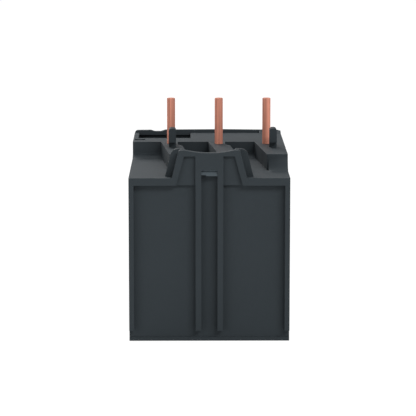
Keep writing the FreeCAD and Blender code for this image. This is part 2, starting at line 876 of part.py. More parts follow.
def sealing_cover():
    """The clear flap over the dial, on two knuckles at its foot."""
    body = new_body("sealing_cover")
    left, right = "window_left - side + fit_gap", "window_right - fit_gap"
    top = "front_top - field_rim - fit_gap"
    depth = ("front", "front + clear_thickness")
    pad(body, "XZ_Plane", depth, rectangle(left, right, "clear_foot", top, "pane_corner"))
    for edge in knuckle_edges():
        span = (edge, f"{edge} + knuckle_width")
        pad(body, "YZ_Plane", span, rectangle(*depth, "hinge_height", "clear_foot + button_corner"))
        pad(body, "YZ_Plane", span, (("hinge_line", "hinge_height"), "knuckle_radius"))
        pocket(body, "YZ_Plane", span, (("hinge_line", "hinge_height"), "hinge_pin_radius + hinge_clearance"))
    pull_right = f"{right} - knuckle_width"
    pull_top = f"{top} - pull_drop"
    pull = rectangle(f"{pull_right} - pull_width", pull_right, f"{pull_top} - pull_height", pull_top)
    pocket(body, "XZ_Plane", ("front", "front + pull_depth"), pull)


def hinge_pin():
    pin = rod("x", ("hinge_line", "hinge_height"), hinge_pin_span(), "hinge_pin_radius")
    keep(pin, "sealing_cover_pin")


def setting_dial():
    """The current-setting dial: a slotted face, a flange behind the panel and a shaft with a cam end."""
    body = new_body("setting_dial")
    face = "-(front + dial_face)"
    back = "-(bezel_back + fit_gap)"
    end = "adjuster_pivot + lever_thickness / 2 + fit_gap"
    outline = [
        (0, face),
        ("dial_radius", face),
        ("dial_radius", back),
        ("dial_radius + dial_flange", back),
        ("dial_radius + dial_flange", f"{back} - dial_flange"),
        ("dial_shaft", f"{back} - dial_flange"),
        ("dial_shaft", end),
        (0, end),
    ]
    turn(body, outline)
    slot = rectangle(*around(0, "dial_slot_length"), *around(0, "dial_slot"))
    pocket(body, "XY_Plane", (f"{face} - dial_slot", face), slot)
    body.Placement = FreeCAD.Placement(V(), FreeCAD.Rotation(V(1, 0, 0), 90))
    place(body, "dial_place", 0, "dial_height")


def square_button(name, middle):
    """A spring-loaded push button with a retaining flange and a guide stem."""
    body = new_body(name)
    size = rectangle(*around(middle, "button_size"), *around("button_height", "button_size"), "button_corner")
    pad(body, "XZ_Plane", ("front", "front + button_back"), size)
    flange = rectangle(*around(middle, "flange_size"), *around("button_height", "flange_size"))
    pad(body, "XZ_Plane", ("bezel_back + fit_gap", "bezel_back + fit_gap + flange_thickness"), flange)
    pad(body, "XZ_Plane", ("front + button_back", "-stem_end"), ((middle, "button_height"), "stem_radius"))


def spring(name, middle):
    """The coil spring between a button's flange and the mechanism plate."""
    start = "(front + button_back)"
    length = f"(plate_front - {start} - 2 * spring_wire)"
    helix = doc.addObject("Part::Helix", "helix")
    bind(helix, {"Pitch": f"{length} / spring_turns", "Height": length, "Radius": "spring_radius"})
    wire = doc.addObject("Part::RegularPolygon", "wire")
    wire.Polygon = 4
    bind(wire, {"Circumradius": "spring_wire", "Placement.Base.x": "spring_radius"})
    wire.Placement = FreeCAD.Placement(V(number("spring_radius"), 0, 0), FreeCAD.Rotation(V(1, 0, 0), 90))
    coil = doc.addObject("Part::Sweep", name)
    coil.Sections = [wire]
    coil.Spine = (helix, ["Edge1"])
    coil.Solid = True
    coil.Frenet = True
    coil.Placement = FreeCAD.Placement(V(), TURNS["y"])
    keep(place(coil, middle, f"{start} + spring_wire", "button_height"), name)


def round_control(centre, face, radius, flange, stem):
    """A round button or selector that turns or slides along Y."""
    back = "bezel_back + fit_gap"
    pieces = (
        rod("y", centre, (face, f"{back} + flange_thickness"), radius),
        rod("y", centre, (back, f"{back} + flange_thickness"), flange),
        rod("y", centre, (back, "-stem_end"), stem),
    )
    return fuse(*pieces)


def controls():
    setting_dial()
    for name, middle in (("reset", "reset_place"), ("stop", "stop_place")):
        square_button(f"{name}_button", middle)
        spring(f"{name}_spring", middle)
    test = ("test_place", "test_height")
    button = round_control(test, "front + test_face", "test_radius", "test_flange", "test_stem")
    keep(button, "test_button")
    centre = ("reset_place", "selector_height")
    knob = round_control(centre, "front + selector_face", "selector_radius", "selector_flange", "test_stem")
    slot_depth = ("front", "front + selector_face + field_depth")
    slot = block(around("reset_place", "selector_slot"), slot_depth, around("selector_height", "dial_slot"))
    keep(cut(knob, slot), "mode_selector")
    flag = block(
        ("flag_place - flag_window / 2 - flag_travel - fit_gap", "flag_place + flag_window / 2 + fit_gap"),
        ("bezel_back + fit_gap", "bezel_back + fit_gap + flange_thickness"),
        around("flag_height", "flag_window_height + 2 * flag_overlap"),
    )
    keep(flag, "trip_indicator")


def mechanism_plate():
    """The upright plate behind the panel that guides the stems and carries the dial's shaft."""
    body = new_body("mechanism_plate")
    span = ("plate_front", "-plate_rear")
    pad(body, "XZ_Plane", span, rectangle("wall - side", "side - wall", "front_foot + wall", "plate_top"))
    pocket(body, "XZ_Plane", span, (("dial_place", "dial_height"), "dial_shaft + stem_clearance"))
    for middle in ("reset_place", "stop_place"):
        pocket(body, "XZ_Plane", span, ((middle, "button_height"), "stem_radius + stem_clearance"))
    for centre in (("test_place", "test_height"), ("reset_place", "selector_height")):
        pocket(body, "XZ_Plane", span, (centre, "test_stem + stem_clearance"))


# Terminals -------------------------------------------------------------------------------------------


def terminal_block(name, spans, at, count, chamber, legs):
    """A comb of chambers, open in front for the screwdriver and below for the wires.

    The spans are the block's and the chambers', each as front, rear, foot and top.
    """
    body = new_body(name)
    whole, recess = spans
    pad(body, "YZ_Plane", ("-side", "side"), rectangle(*whole))
    for index in range(1, count + 1):
        pocket(body, "YZ_Plane", around(at(index), chamber), rectangle(*recess))
        pocket(body, "XZ_Plane", (recess[1], whole[1]), legs(index))


def main_leg_hole(index):
    width = around(pole_x(index), "tab_width + 2 * fit_gap")
    return rectangle(*width, "load_leg - fit_gap", "tab_leg + fit_gap")


def aux_leg_hole(index):
    return rectangle(*around(aux_x(index), "contact_width + 2 * fit_gap"), *leg_span("fit_gap"))


def screw(name, centre, span, head, radius, cross):
    """A cross-slotted terminal screw along Y.

    The span is its face and end, as distances in front of the origin, and the head its radius and height.
    """
    body = new_body(name)
    face, end = span
    head_radius, head_height = head
    seat = f"{face} - {head_height}"
    outline = [
        (0, face),
        (f"{head_radius} - head_chamfer", face),
        (head_radius, f"{face} - head_chamfer"),
        (head_radius, seat),
        (radius, seat),
        (radius, end),
        (0, end),
    ]
    turn(body, outline)
    for u, v in (("cross_width", cross), (cross, "cross_width")):
        pocket(body, "XY_Plane", (f"{face} - cross_depth", face), rectangle(*around(0, u), *around(0, v)))
    body.Placement = FreeCAD.Placement(V(), FreeCAD.Rotation(V(1, 0, 0), 90))
    place(body, centre[0], 0, centre[1])


def main_terminal(index):
    middle = pole_x(index)
    width = around(middle, "tab_width")
    tab = block(width, ("-tab_front", "tab_thickness - tab_front"), ("tab_foot", "tab_leg"))
    leg = block(width, ("-tab_front", "strip_front + strip_width"), ("load_leg", "tab_leg"))
    keep(fuse(tab, leg), f"load_plate_{index}")
    cage = new_body(f"main_cage_{index}")
    outer = rectangle(*around(middle, "cage_width"), "-cage_front", "-cage_rear", "cage_corner")
    pad(cage, "XY_Plane", ("cage_foot", "cage_top"), outer)
    inside = around(middle, "cage_width - 2 * cage_wall")
    hollow = rectangle(*inside, "cage_wall - cage_front", "-cage_rear - cage_wall")
    pocket(cage, "XY_Plane", ("cage_foot", "cage_top"), hollow)
    thread = ((middle, "main_screw_height"), "main_screw_radius + thread_clearance")
    pocket(cage, "XZ_Plane", ("-cage_front", "cage_wall - cage_front"), thread)
    head = ("main_head_radius", "main_head_height")
    span = ("main_head_face", "tab_front + fit_gap")
    screw(f"main_screw_{index}", (middle, "main_screw_height"), span, head, "main_screw_radius", "main_cross")


def aux_terminal(index):
    middle = aux_x(index)
    centre = (middle, "aux_screw_height")
    narrow = around(middle, "contact_width")
    bore = "aux_screw_radius + thread_clearance"
    depth = ("-contact_plate_front", "contact_plate_back")
    plate = block(around(middle, "contact_plate_width"), depth, ("contact_plate_foot", "contact_leg"))
    leg = block(narrow, ("-contact_plate_front", "-contact_end"), leg_span())
    end = ("-contact_end - contact_plate_thickness", "-contact_end")
    drop = block(narrow, end, ("contact_drop", "contact_leg"))
    stud = rod("y", centre, ("-contact_end", "contact_button_height - contact_end"), "contact_button")
    keep(cut(fuse(plate, leg, drop, stud), rod("y", centre, depth, bore)), f"contact_plate_{index}")
    depth = ("-clamp_front", "clamp_thickness - clamp_front")
    clamp = block(around(middle, "clamp_size"), depth, around("aux_screw_height", "clamp_size"))
    keep(cut(clamp, rod("y", centre, depth, bore)), f"aux_clamp_{index}")
    head = ("aux_head_radius", "aux_head_height")
    span = ("clamp_front + aux_head_height", "aux_screw_end")
    screw(f"aux_screw_{index}", centre, span, head, "aux_screw_radius", "aux_cross")


# Poles and tripping mechanism ------------------------------------------------------------------------


def line_pin(index):
    """A copper pin: a round plug, a thicker shank in the platform and a flat run to the pole's heater."""
    body = new_body(f"line_pin_{index}")
    run_foot = "pin_run_height - pin_run_thickness / 2"
    outline = [
        (0, "pin_top"),
        ("pin_radius - pin_chamfer", "pin_top"),
        ("pin_radius", "pin_top - pin_chamfer"),
        ("pin_radius", "deck_height"),
        ("pin_shank", "deck_height"),
        ("pin_shank", "shelf_height - wall"),
        ("pin_radius", "shelf_height - wall"),
        ("pin_radius", run_foot),
        (0, run_foot),
    ]
    turn(body, outline)
    run = rectangle(*around(0, "pin_run_width"), *around("pin_run_height", "pin_run_thickness"))
    pad(body, "XZ_Plane", (0, "pin_run_end - pin_place"), run)
    place(body, pin_x(index), "pin_place", 0)


def pole(index):
    """A bimetal strip in its insulating sleeve, with the heater ribbon wound round both."""
    middle = pole_x(index)
    ends = ("heater_foot", "heater_top")
    thickness = around(middle, "strip_thickness")
    width = around("strip_middle", "strip_width")
    keep(block(thickness, width, ("strip_foot", "strip_top")), f"bimetal_strip_{index}")
    thick_sleeve = "strip_thickness + 2 * sleeve_wall"
    wide_sleeve = "strip_width + 2 * sleeve_wall"
    around_sleeve = (around(middle, thick_sleeve), around("strip_middle", wide_sleeve))
    keep(cut(block(*around_sleeve, ends), block(thickness, width, ends)), f"heater_sleeve_{index}")
    heater = new_body(f"heater_winding_{index}")
    across = around(middle, f"{thick_sleeve} + 2 * heater_wall")
    front, back = around("strip_middle", f"{wide_sleeve} + 2 * heater_wall")
    pad(heater, "XY_Plane", ends, rectangle(*across, front, back))
    pocket(heater, "XY_Plane", ends, rectangle(*around_sleeve[0], *around_sleeve[1]))
    turns = round(number("(heater_top - heater_foot) / heater_pitch"))
    for step in range(1, turns):
        slit_ends = (front, f"{back} - heater_spine") if step % 2 else (f"{front} + heater_spine", back)
        level = around(f"heater_foot + {step} * heater_pitch", "heater_slit")
        pocket(heater, "YZ_Plane", across, rectangle(*slit_ends, *level))


def slider(name, low, lead):
    """A slotted plate that the strips' tips push sideways. The leading one has an arm for the lever."""
    body = new_body(name)
    span = (low, f"{low} + slider_thickness")
    pad(body, "XY_Plane", span, rectangle("-slider_end", "slider_end", "slider_front", "slider_rear"))
    for index in (1, 2, 3):
        near = f"{pole_x(index)} - strip_thickness / 2"
        far = f"{pole_x(index)} + strip_thickness / 2"
        if lead:
            left, right = f"{far} + slider_slack - slider_travel - strip_thickness", f"{far} + slider_slack"
        else:
            left, right = f"{near} - slider_slack", f"{far} + slider_travel"
        slot = rectangle(left, right, "strip_front - fit_gap", "strip_front + strip_width + fit_gap")
        pocket(body, "XY_Plane", span, slot)
    if lead:
        arm = rectangle("arm_left", "arm_left + arm_width", "arm_end", "slider_front + wall")
        pad(body, "XY_Plane", span, arm)


def lever(name, pivot, arms, span):
    """Flat arms on a boss, with the fixed pivot pin that the boss turns on."""
    body = new_body(name)
    pad(body, "XY_Plane", span, (pivot, "pivot_boss"))
    for arm in arms:
        pad(body, "XY_Plane", span, arm)
    pocket(body, "XY_Plane", span, (pivot, "pivot_radius + pivot_clearance"))
    keep(rod("z", pivot, ("front_foot + wall", f"{span[1]} + fit_gap"), "pivot_radius"), f"{name}_pin")


def compensation_lever():
    pivot = ("lever_side + lever_thickness / 2", "lever_place")
    upright = rectangle("lever_side", "lever_side + lever_thickness", "lever_place", "lever_tip")
    cross = rectangle("lever_reach - lever_thickness", "lever_side", *around("lever_place", "lever_thickness"))
    span = ("lever_foot", "lever_foot + lever_depth + slider_thickness")
    lever("compensation_lever", pivot, (upright, cross), span)


def adjusting_lever():
    pivot = ("adjuster_place", "-adjuster_pivot")
    reach = ("adjuster_place", "adjuster_place + adjuster_reach")
    arm = rectangle(*reach, *around("-adjuster_pivot", "lever_thickness"))
    lever("adjusting_lever", pivot, (arm,), around("dial_height", "lever_depth"))


def contact_rocker():
    """The rocking contact carrier. It opens the left pair of contacts as it closes the right pair."""
    body = new_body("contact_rocker")
    pivot = (0, "rocker_place")
    span = ("rocker_foot", "rocker_top")
    beam = rectangle("-rocker_half", "rocker_half", *around("rocker_place", "rocker_depth"))
    pad(body, "XY_Plane", span, beam)
    pad(body, "XY_Plane", span, (pivot, "pivot_boss"))
    post = rectangle(*around("-rocker_post", "2 * lever_thickness"), "rocker_post_face", "rocker_place")
    pad(body, "XY_Plane", ("rocker_top - lever_depth / 2", "lever_foot + lever_depth"), post)
    pocket(body, "XY_Plane", span, (pivot, "pivot_radius + pivot_clearance"))
    keep(rod("z", pivot, ("main_height + wall", "rocker_top + fit_gap"), "pivot_radius"), "contact_rocker_pin")
    closed = "contact_button_height - contact_end + fit_gap"
    height = around("aux_screw_height", "bridge_height")
    for name, first, face in (("closed_bridge", 1, closed), ("open_bridge", 3, f"{closed} + trip_gap")):
        ends = (f"{aux_x(first)} - contact_button", f"{aux_x(first + 1)} + contact_button")
        bar = block(ends, (face, f"{face} + bridge_thickness"), height)
        middle = f"({aux_x(first)} + {aux_x(first + 1)}) / 2"
        foot = block(around(middle, "bridge_height"), (face, "rocker_place - rocker_depth / 2"), height)
        keep(fuse(bar, foot), name)


def build():
    rear_cover()
    main_housing()
    front_cover()
    sealing_cover()
    hinge_pin()
    controls()
    mechanism_plate()
    main_block = ("-main_front", "-main_rear", 0, "main_height")
    main_recess = ("-main_front", "-main_chamber_rear", 0, "main_chamber_top")
    terminal_block("main_terminal_block", (main_block, main_recess), pole_x, 3, "main_chamber", main_leg_hole)
    aux_block = ("-aux_front", "-aux_rear", "main_height", "front_foot")
    aux_recess = ("-aux_front", "-aux_chamber_rear", "main_height", "aux_chamber_top")
    terminal_block("aux_terminal_block", (aux_block, aux_recess), aux_x, 4, "aux_chamber", aux_leg_hole)
    for index in (1, 2, 3):
        main_terminal(index)
        line_pin(index)
        pole(index)
    for index in (1, 2, 3, 4):
        aux_terminal(index)
    slider("main_slider", "slider_foot", True)
    slider("differential_slider", "slider_foot + slider_thickness + slider_gap", False)
    compensation_lever()
    adjusting_lever()
    contact_rocker()


def check():
    """Stops if any object failed to compute or any piece isn't a sound solid."""
    failed = [o.Name for o in doc.Objects if {"Invalid", "Error"} & set(o.State)]
    unsound = [p.Label for p in parts if p.Shape.isNull() or not p.Shape.isValid() or not p.Shape.Solids]
    if failed or unsound:
        raise RuntimeError(f"failed objects: {failed}; unsound pieces: {unsound}")


build()
doc.recompute()
check()
os.makedirs("parts", exist_ok=True)
for piece in parts:
    piece.Shape.exportStep(f"parts/{piece.Label}.step")
print(len(parts), "pieces written")
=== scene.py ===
"""Finishes, small pieces and studio for the thermal overload relay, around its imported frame."""

import math

import bpy
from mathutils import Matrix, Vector


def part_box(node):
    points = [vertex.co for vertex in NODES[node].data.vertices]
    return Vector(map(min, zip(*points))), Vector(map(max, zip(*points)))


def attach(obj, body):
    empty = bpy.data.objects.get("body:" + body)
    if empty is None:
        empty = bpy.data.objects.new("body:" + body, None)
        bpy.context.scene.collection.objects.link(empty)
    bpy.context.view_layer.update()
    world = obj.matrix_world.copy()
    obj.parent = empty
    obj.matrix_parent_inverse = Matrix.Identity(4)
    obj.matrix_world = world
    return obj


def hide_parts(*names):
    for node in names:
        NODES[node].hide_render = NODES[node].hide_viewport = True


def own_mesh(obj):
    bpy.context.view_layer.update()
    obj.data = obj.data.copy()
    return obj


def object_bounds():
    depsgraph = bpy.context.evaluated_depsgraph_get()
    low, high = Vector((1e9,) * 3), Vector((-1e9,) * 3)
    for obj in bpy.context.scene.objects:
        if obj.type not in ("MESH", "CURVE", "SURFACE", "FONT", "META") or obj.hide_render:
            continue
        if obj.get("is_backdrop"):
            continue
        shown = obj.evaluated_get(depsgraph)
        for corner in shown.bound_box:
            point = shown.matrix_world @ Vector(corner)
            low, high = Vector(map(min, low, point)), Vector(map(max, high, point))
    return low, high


bl_info = {
    "name": "Overload relay finish",
    "version": (1, 0, 0),
    "blender": (4, 5, 0),
    "location": "3D View > Sidebar > Relay",
    "description": "Dresses a thermal overload relay's moulded, metal and clear parts and sets its studio",
    "category": "Object",
}

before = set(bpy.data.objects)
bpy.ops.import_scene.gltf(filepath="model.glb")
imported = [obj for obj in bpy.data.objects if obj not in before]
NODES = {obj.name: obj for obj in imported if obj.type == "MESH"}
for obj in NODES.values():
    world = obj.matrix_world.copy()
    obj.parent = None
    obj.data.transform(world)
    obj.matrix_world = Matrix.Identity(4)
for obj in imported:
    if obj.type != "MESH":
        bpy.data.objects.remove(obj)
MM = 0.001

MOULDINGS = ("main_housing", "rear_cover", "front_cover", "main_terminal_block", "aux_terminal_block")
POLES = (1, 2, 3)
CONTROLS = (1, 2, 3, 4)

# Turns between faces: sharp enough to round, shallow enough to shade smooth, and as good as flat
SHARP = math.radians(35)
SMOOTH = math.radians(40)
FLAT = math.radians(1)
# Points nearer than this are one point
MERGE = 1e-6

# Shares of a pin's radius: its tip's rounding, the ease of that rounding, and its shank's depth
PIN_TIP, PIN_EASE, PIN_HIP = 0.16, 0.3, 5

# A screw's thread depth and ridge as shares of the pitch, and its point as a share of the root
THREAD_DEPTH, THREAD_RIDGE, SCREW_POINT = 0.45, 0.52, 0.7
# Its dome: height as a share of the head, draw-in and flat top as shares of the head's radius
DOME_HEIGHT, DOME_DRAW, DOME_FLAT = 0.35, 0.34, 0.6
# Its cross recess: length and width as shares of the head's radius, depth as a share of the head
CROSS_LENGTH, CROSS_WIDTH, CROSS_DEPTH = 1.3, 0.27, 1.1

# A dished button's face, from its edge inwards: share of its width, and share of the dish's depth
DISHED = ((0.96, 0.0), (0.82, 0.0), (0.74, 0.8), (0.5, 1.0))

# Shares of the dial's face: its flat ring's inner edge, the foot of the step, and the slot
# and arrow on it
RING, STEP, SLOT, ARROW_PLACE, ARROW_SIZE = 0.86, 0.82, 1.15, 0.70, 0.16

# Small distances in metres: the taper of a button's stem, the dial's edge and step, the room
# round a pin in its collar, and from a scale mark to its number
STEM_LEAD, DIAL_EDGE, DIAL_STEP, COLLAR_GAP, NUMBER_GAP = 0.0004, 0.0003, 0.0002, 0.00001, 0.00095

# Studio: the point that camera and lamps face, and each lamp's place, size and power setting
MIDDLE = Vector((0.00017, 0.005, 0.033385))
LAMPS = (
    ("key_lamp", (-0.50, 0.82, 0.76), (0.75, 0.12), "key"),
    ("side_lamp", (0.75, 0.80, 0.30), (0.5, 0.5), "side"),
    ("top_lamp", (0.0, -0.30, 0.95), (0.5, 0.5), "top"),
    ("front_lamp", (0.45, -0.85, 0.6), (0.6, 0.6), "fill"),
)
WHITE = (1.0, 1.0, 1.0, 1.0)
PAPER_TONE, PAPER_GLOW, GLOW_SHARE = 0.8, 1.08, 0.9


def numbered(stem, numbers):
    """The names of a repeated piece."""
    return [f"{stem}_{n}" for n in numbers]


# Shader expressions ----------------------------------------------------------------------------------


class Value:
    """A shader number. Arithmetic on it adds Math nodes to its finish."""

    def __init__(self, finish, socket):
        self.finish = finish
        self.socket = socket

    def math(self, operation, first, second=0.0):
        node = self.finish.node("ShaderNodeMath", {"operation": operation}, {0: first, 1: second})
        return Value(self.finish, node.outputs[0])

    def __add__(self, other):
        return self.math("ADD", self, other)

    def __sub__(self, other):
        return self.math("SUBTRACT", self, other)

    def __mul__(self, other):
        return self.math("MULTIPLY", self, other)

    __radd__ = __add__
    __rmul__ = __mul__

    def above(self, edge):
        return self.math("GREATER_THAN", self, edge)

    def below(self, edge):
        return self.math("LESS_THAN", self, edge)

    def clamped(self):
        return self.math("MINIMUM", self.math("MAXIMUM", self, 0.0), 1.0)


class Nodes:
    """Fills one emptied node tree, of a material or of the world."""

    def __init__(self, owner):
        owner.use_nodes = True
        self.tree = owner.node_tree
        self.tree.nodes.clear()

    def node(self, kind, settings=None, inputs=None):
        """Adds a node, sets its settings first and then the values or links of its sockets."""
        made = self.tree.nodes.new(kind)
        for name, setting in (settings or {}).items():
            setattr(made, name, setting)
        for key, value in (inputs or {}).items():
            self.feed(made.inputs[key], value)
        return made

    def feed(self, socket, value):
        source = value.socket if isinstance(value, Value) else value
        if isinstance(source, bpy.types.NodeSocket):
            self.tree.links.new(source, socket)
        else:
            socket.default_value = source


class Finish(Nodes):
    """One procedural material, built round a Principled shader in object space."""

    def __init__(self, name):
        self.material = bpy.data.materials.new(name)
        super().__init__(self.material)
        self.shader = self.node("ShaderNodeBsdfPrincipled")
        self.node("ShaderNodeOutputMaterial", None, {"Surface": self.shader.outputs[0]})
        self.place = self.node("ShaderNodeTexCoord").outputs["Object"]

    def set(self, **inputs):
        """Sets the Principled shader's sockets, with _ for a space."""
        for name, value in inputs.items():
            self.feed(self.shader.inputs[name.replace("_", " ")], value)

    def axis(self, name):
        split = self.node("ShaderNodeSeparateXYZ", None, {0: self.place})
        return Value(self, split.outputs[name])

    def within(self, low, high):
        """One inside a box, and zero outside it."""
        inside = 1.0
        for name, start, end in zip("XYZ", low, high):
            place = self.axis(name)
            inside = place.above(start) * place.below(end) * inside
        return inside

    def noise(self, scale, detail=3.0, stretch=(1.0, 1.0, 1.0)):
        """Noise from 0 to 1, with this many features to the metre."""
        moved = self.node("ShaderNodeMapping", None, {"Vector": self.place, "Scale": stretch})
        inputs = {"Vector": moved.outputs[0], "Scale": scale, "Detail": detail}
        made = self.node("ShaderNodeTexNoise", None, inputs)
        return Value(self, made.outputs["Fac"])

    def blend(self, amount, first, second):
        """A colour between two, by a number from 0 to 1."""
        mixed = self.node("ShaderNodeMix", {"data_type": "RGBA"}, {0: amount, 6: first, 7: second})
        return mixed.outputs[2]

    def bump(self, height, depth):
        """A normal that follows a height from 0 to 1, this many metres deep."""
        inputs = {"Strength": 1.0, "Distance": depth, "Height": height}
        return self.node("ShaderNodeBump", None, inputs).outputs["Normal"]


def shade(colour, factor):
    """A colour made lighter or darker, as RGBA."""
    return tuple(min(1.0, c * factor) for c in colour[:3]) + (1.0,)


def dress(names, finish):
    """Gives CAD nodes one finish."""
    for name in names:
        mesh = NODES[name].data
        mesh.materials.clear()
        mesh.materials.append(finish.material)


def soften(names, radius):
    """Rounds the edges of CAD nodes by modifiers, after their loose triangles are merged."""
    for name in names:
        item = NODES[name]
        weld = item.modifiers.new("merge", "WELD")
        weld.merge_threshold = MERGE
        flat = item.modifiers.new("flats", "DECIMATE")
        flat.decimate_type = "DISSOLVE"
        flat.angle_limit = FLAT
        edge = item.modifiers.new("edges", "BEVEL")
        edge.width = radius
        edge.segments = 2
        edge.limit_method = "ANGLE"
        edge.angle_limit = SHARP
        edge.use_clamp_overlap = True
        edge.harden_normals = True


# Modelling -------------------------------------------------------------------------------------------


def start(kind, name, **settings):
    """Adds a primitive with nothing else selected."""
    bpy.ops.object.select_all(action="DESELECT")
    getattr(bpy.ops.mesh, f"primitive_{kind}_add")(**settings)
    item = bpy.context.object
    item.name = name
    item.data.name = name
    return item


def pick(item):
    """Makes one object the only one selected."""
    bpy.ops.object.select_all(action="DESELECT")
    item.select_set(True)
    bpy.context.view_layer.objects.active = item


def settle(item):
    """Puts an object's place, turn and scale into its mesh."""
    pick(item)
    bpy.ops.object.transform_apply(location=True, rotation=True, scale=True)
    return item


def raise_face(steps, width, height):
    """Extrudes the selected face up through steps of (width, height), each scaled about the axis."""
    for wide, high in steps:
        bpy.ops.mesh.extrude_region_move(TRANSFORM_OT_translate={"value": (0, 0, high - height)})
        if wide != width:
            grown = (wide / width, wide / width, 1)
            bpy.ops.transform.resize(value=grown, center_override=(0, 0, high))
        width, height = wide, high
    bpy.ops.mesh.select_all(action="SELECT")
    bpy.ops.mesh.normals_make_consistent(inside=False)
    bpy.ops.object.mode_set(mode="OBJECT")


def turned(name, outline, segments=48):
    """A turned solid on the Z axis, from an outline of (radius, height) that starts at its foot."""
    radius, height = outline[0]
    shape = {"vertices": segments, "radius": radius, "fill_type": "NGON"}
    item = start("circle", name, location=(0, 0, height), **shape)
    bpy.ops.object.mode_set(mode="EDIT")
    raise_face(outline[1:], radius, height)
    return settle(item)


def squared(name, outline, corner):
    """A solid with a round-cornered square section, from (width, height) steps that start at its foot."""
    width, height = outline[0]
    item = start("plane", name, size=width, location=(0, 0, height))
    bpy.ops.object.mode_set(mode="EDIT")
    bpy.ops.mesh.bevel(offset=corner, segments=6, affect="VERTICES")
    raise_face(outline[1:], width, height)
    return settle(item)


def apply(item, name, kind, **settings):
    """Adds a modifier and applies it at once."""
    pick(item)
    modifier = item.modifiers.new(name, kind)
    for key, value in settings.items():
        setattr(modifier, key, value)
    bpy.ops.object.modifier_apply(modifier=name)


def carve(item, cutter, finish=None):
    """Cuts one solid out of another. The cut faces take a finish of their own if one is given."""
    settings = {"operation": "DIFFERENCE", "object": cutter, "solver": "EXACT"}
    settings["material_mode"] = "TRANSFER" if finish else "INDEX"
    if finish:
        cutter.data.materials.append(finish.material)
    apply(item, "carved", "BOOLEAN", **settings)
    bpy.data.objects.remove(cutter)


def round_off(item, radius, segments=3):
    """Rounds a piece's sharp edges and smooths its shading."""
    limit = {"limit_method": "ANGLE", "angle_limit": SHARP}
    apply(item, "edges", "BEVEL", width=radius, segments=segments, use_clamp_overlap=True, **limit)
    return smooth(item)


def smooth(item):
    """Smooths a piece's shading across its shallow edges."""
    pick(item)
    bpy.ops.object.shade_smooth_by_angle(angle=SMOOTH)
    return item


def joined(first, *others):
    """Makes one piece of several."""
    pick(first)
    for other in others:
        other.select_set(True)
    bpy.ops.object.join()
    return first


def helix(name, radius, section, corners, pitch, turns, foot):
    """A closed helical rod about the Z axis, with a section of this radius and number of corners."""
    place = {"location": (radius, 0, foot), "rotation": (math.pi / 2, 0, 0)}
    item = settle(start("circle", name, vertices=corners, radius=section, **place))
    steps = {"steps": 28, "render_steps": 28, "use_smooth_shade": False}
    apply(item, "wound", "SCREW", screw_offset=pitch, iterations=turns, **steps)
    bpy.ops.object.mode_set(mode="EDIT")
    bpy.ops.mesh.select_all(action="SELECT")
    bpy.ops.mesh.fill_holes(sides=0)
    bpy.ops.mesh.normals_make_consistent(inside=False)
    bpy.ops.object.mode_set(mode="OBJECT")
    return item


def face_front(item, x, y, z):
    """Turns a piece modelled up the Z axis to face the front, and moves its zero to a place."""
    item.rotation_euler = (math.pi / 2, 0, 0)
    item.location = (x, y, z)
    return settle(item)


def seat(item, body, slot, finish, *nodes):
    """Gives a finished piece its finish, its body and the CAD nodes that it stands for."""
    if not any(item.data.materials):
        item.data.materials.clear()
        item.data.materials.append(finish.material)
    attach(item, body)
    if nodes:
        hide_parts(*nodes)
    return item


# Settings --------------------------------------------------------------------------------------------


def length(name, description, size):
    """A distance setting, with its default in millimetres."""
    return bpy.props.FloatProperty(name=name, description=description, subtype="DISTANCE", default=size * MM)


def angle(name, description, degrees):
    """An angle setting, with its default in degrees."""
    turn = math.radians(degrees)
    return bpy.props.FloatProperty(name=name, description=description, subtype="ANGLE", default=turn)


def power(name, description, watts):
    """A lamp's power setting."""
    return bpy.props.FloatProperty(name=name, description=description, subtype="POWER", default=watts)


def tint(name, description, colour):
    """A colour setting."""
    settings = {"name": name, "description": description, "default": colour}
    return bpy.props.FloatVectorProperty(subtype="COLOR", size=3, **settings)


class MouldingSettings(bpy.types.PropertyGroup):
    """The dark moulded plastic."""

    colour: tint("Colour", "Colour of the moulded case", (0.033, 0.0415, 0.0475))
    grain: bpy.props.FloatProperty(
        name="Grain depth", description="Depth of the moulded grain", subtype="DISTANCE", default=0.000012
    )
    edge: bpy.props.FloatProperty(
        name="Edge radius", description="Rounding of the moulded edges", subtype="DISTANCE", default=0.00013
    )
    # Box of the painted light on the latch wedge
    latch_half: length("Latch half width", "Half the width of the latch wedge in the rear cover", 2.26)
    latch_foot: length("Latch foot", "Height of the latch wedge's lower edge", 47.1)
    latch_top: length("Latch top", "Height of the latch wedge's upper edge", 48.7)


class MetalSettings(bpy.types.PropertyGroup):
    """Pins, screws and contacts."""

    copper: tint("Copper", "Colour of the bare pins", (0.68, 0.27, 0.185))
    steel: tint("Steel", "Colour of the plated screws", (0.60, 0.60, 0.58))
    brass: tint("Brass", "Colour of the stamped contacts", (0.70, 0.50, 0.22))
    pin: length("Pin radius", "Radius of the bare end of a line pin", 1.2)
    run: length("Run thickness", "Thickness of the flat run from a pin to its heater", 1.6)
    deck: length("Deck height", "Height of the deck that the pins stand up from", 51.05)
    collar: length("Collar height", "Height of the moulded ring round a pin", 0.4)
    main_shank: length("Main shank", "Outer radius of a main screw's thread", 2.0)
    main_head: length("Main head", "Height of a main screw's head", 2.2)
    main_thread: length("Main pitch", "Thread pitch of a main screw", 0.7)
    aux_shank: length("Control shank", "Outer radius of a control screw's thread", 1.75)
    aux_head: length("Control head", "Height of a control screw's head", 1.8)
    aux_thread: length("Control pitch", "Thread pitch of a control screw", 0.6)
    wire: length("Spring wire", "Radius of the return springs' wire", 0.3)
    turns: bpy.props.IntProperty(name="Spring turns", description="Turns of a return spring", default=5)
    press: length("Spring press", "How far a button shortens its spring", 2.2)


